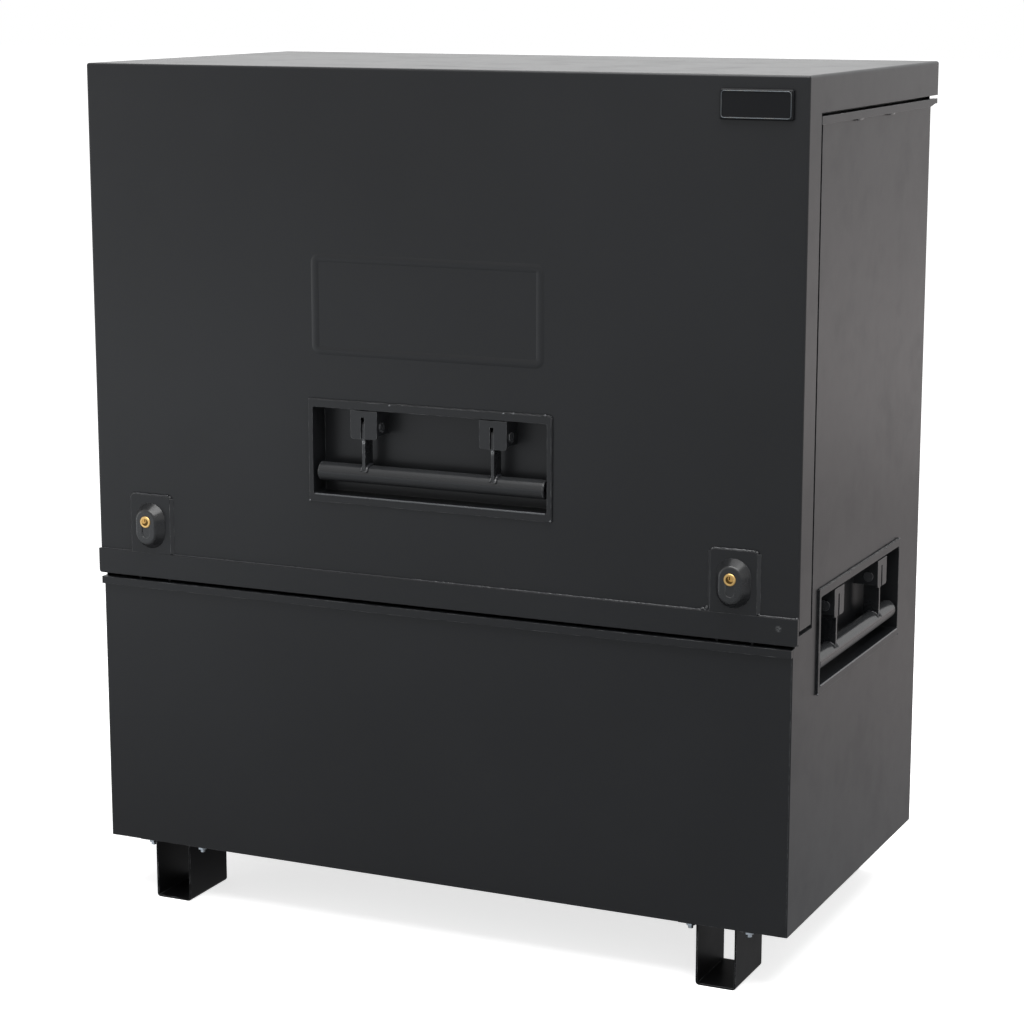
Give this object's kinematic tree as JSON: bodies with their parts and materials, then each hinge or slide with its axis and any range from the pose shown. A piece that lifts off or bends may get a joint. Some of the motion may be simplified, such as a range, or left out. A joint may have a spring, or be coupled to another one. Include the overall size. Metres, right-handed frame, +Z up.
{
  "type": "tool vault",
  "caption": "Steel site vault for tools: deep box on channel feet with an L-shaped lid hinged at the rear, recessed drop handles and two key locks.",
  "frame": {"origin": "on the floor, under the middle of the closed vault's bounding box", "axes": "+X to the right along the hinge, +Y to the rear, +Z up"},
  "size_m": [1.22, 0.6784, 1.392],
  "materials": {
    "body_paint": "satin powder coat, near black",
    "lid_paint": "satin powder coat, near black",
    "inner_paint": "satin powder coat, thin on inner faces",
    "edge_bar_paint": "satin powder coat over a rough weld",
    "rim_bar_paint": "satin powder coat",
    "foot_paint": "satin powder coat, scuffed underneath",
    "handle_paint": "satin powder coat, rubbed on the grip",
    "tray_paint": "satin powder coat",
    "lock_paint": "satin powder coat",
    "lock_brass": "turned, lightly tarnished",
    "lock_steel": "plain steel, oiled",
    "zinc_bolts": "zinc plated",
    "hinge_steel": "plain steel, painted over on the outside",
    "seal_rubber": "black sponge rubber",
    "plate_metal": "smooth dark plate with a plain border",
    "strut_paint": "gloss black",
    "strut_chrome": "polished rod"
  },
  "bodies": {
    "vault": {"side_panel_left": "body_paint", "side_panel_right": "body_paint", "rear_panel": "body_paint", "front_panel": "body_paint", "floor_panel": "body_paint", "jamb_left": "inner_paint", "jamb_right": "inner_paint", "rim_bar_front": "rim_bar_paint", "rim_bar_left": "rim_bar_paint", "rim_bar_right": "rim_bar_paint", "weather_seal": "seal_rubber", "hinge_body_leaf": "hinge_steel", "hinge_pin": "hinge_steel", "handle_tray_left": "tray_paint", "handle_brackets_left": "handle_paint", "pivot_pins_left": "handle_paint", "foot_front_left": "foot_paint", "foot_rear_left": "foot_paint", "handle_tray_right": "tray_paint", "handle_brackets_right": "handle_paint", "pivot_pins_right": "handle_paint", "foot_front_right": "foot_paint", "foot_rear_right": "foot_paint", "foot_bolts": "zinc_bolts", "lock_keeps": "body_paint", "strut_mounts_body": "lock_steel"},
    "lid": {"lid_shell": "lid_paint", "lid_ribs_top": "inner_paint", "lid_ribs_front": "inner_paint", "edge_bar": "edge_bar_paint", "hinge_lid_leaf": "hinge_steel", "handle_tray_front": "tray_paint", "handle_brackets_front": "handle_paint", "pivot_pins_front": "handle_paint", "lock_plates": "lock_paint", "escutcheon_left": "lock_paint", "escutcheon_right": "lock_paint", "lock_cylinder_left": "lock_brass", "lock_cylinder_right": "lock_brass", "lock_cases": "lock_steel", "strut_mounts_lid": "lock_steel", "name_plate": "plate_metal"},
    "front_handle": {"grip_arms_front": "handle_paint", "grip_tube_front": "handle_paint", "grip_plugs_front": "handle_paint"},
    "left_handle": {"grip_arms_left": "handle_paint", "grip_tube_left": "handle_paint", "grip_plugs_left": "handle_paint"},
    "right_handle": {"grip_arms_right": "handle_paint", "grip_tube_right": "handle_paint", "grip_plugs_right": "handle_paint"},
    "left_lock_plug": {"lock_plug_left": "lock_brass"},
    "left_dead_bolt": {"dead_bolt_left": "lock_steel"},
    "left_strut_cylinder": {"strut_cylinder_left": "strut_paint"},
    "left_strut_rod": {"strut_rod_left": "strut_chrome"},
    "right_lock_plug": {"lock_plug_right": "lock_brass"},
    "right_dead_bolt": {"dead_bolt_right": "lock_steel"},
    "right_strut_cylinder": {"strut_cylinder_right": "strut_paint"},
    "right_strut_rod": {"strut_rod_right": "strut_chrome"}
  },
  "joints": [
    {"name": "lid_hinge", "type": "hinge", "parent": "vault", "child": "lid", "pos_m": [0, 0.33165, 1.3285], "axis": [-1, 0, 0], "range_deg": [0, 80]},
    {"name": "front_handle_pivot", "type": "hinge", "parent": "lid", "child": "front_handle", "pos_m": [0, -0.30375, 0.834], "axis": [-1, 0, 0], "range_deg": [0, 90]},
    {"name": "left_handle_pivot", "type": "hinge", "parent": "vault", "child": "left_handle", "pos_m": [-0.5895, 0.00325, 0.5765], "axis": [0, 1, 0], "range_deg": [0, 90]},
    {"name": "right_handle_pivot", "type": "hinge", "parent": "vault", "child": "right_handle", "pos_m": [0.5895, 0.00325, 0.5765], "axis": [0, -1, 0], "range_deg": [0, 90]},
    {"name": "left_key_turn", "type": "hinge", "parent": "lid", "child": "left_lock_plug", "pos_m": [-0.508, -0.31675, 0.652], "axis": [0, 1, 0], "range_deg": [0, 90]},
    {"name": "left_bolt_slide", "type": "slide", "parent": "lid", "child": "left_dead_bolt", "axis": [0, 0, -1], "range_m": [0, 0.014]},
    {"name": "right_key_turn", "type": "hinge", "parent": "lid", "child": "right_lock_plug", "pos_m": [0.508, -0.31675, 0.652], "axis": [0, 1, 0], "range_deg": [0, 90]},
    {"name": "right_bolt_slide", "type": "slide", "parent": "lid", "child": "right_dead_bolt", "axis": [0, 0, -1], "range_m": [0, 0.014]},
    {"name": "left_strut_swing", "type": "hinge", "parent": "vault", "child": "left_strut_cylinder", "pos_m": [-0.572, 0.17125, 1.0285], "axis": [-1, 0, 0], "range_deg": [0, 24.07]},
    {"name": "left_strut_slide", "type": "slide", "parent": "left_strut_cylinder", "child": "left_strut_rod", "axis": [0, -0.1203, 0.9927], "range_m": [0, 0.19355]},
    {"name": "right_strut_swing", "type": "hinge", "parent": "vault", "child": "right_strut_cylinder", "pos_m": [0.572, 0.17125, 1.0285], "axis": [-1, 0, 0], "range_deg": [0, 24.07]},
    {"name": "right_strut_slide", "type": "slide", "parent": "right_strut_cylinder", "child": "right_strut_rod", "axis": [0, -0.1203, 0.9927], "range_m": [0, 0.19355]}
  ],
  "couplings": [
    {"joint": "left_key_turn", "follows": "left_bolt_slide", "rad_per_m": 112.2},
    {"joint": "left_strut_swing", "follows": "lid_hinge", "ratio": 0.30084},
    {"joint": "left_strut_slide", "follows": "lid_hinge", "m_per_rad": 0.13862},
    {"joint": "right_key_turn", "follows": "right_bolt_slide", "rad_per_m": 112.2},
    {"joint": "right_strut_swing", "follows": "lid_hinge", "ratio": 0.30084},
    {"joint": "right_strut_slide", "follows": "lid_hinge", "m_per_rad": 0.13862}
  ]
}
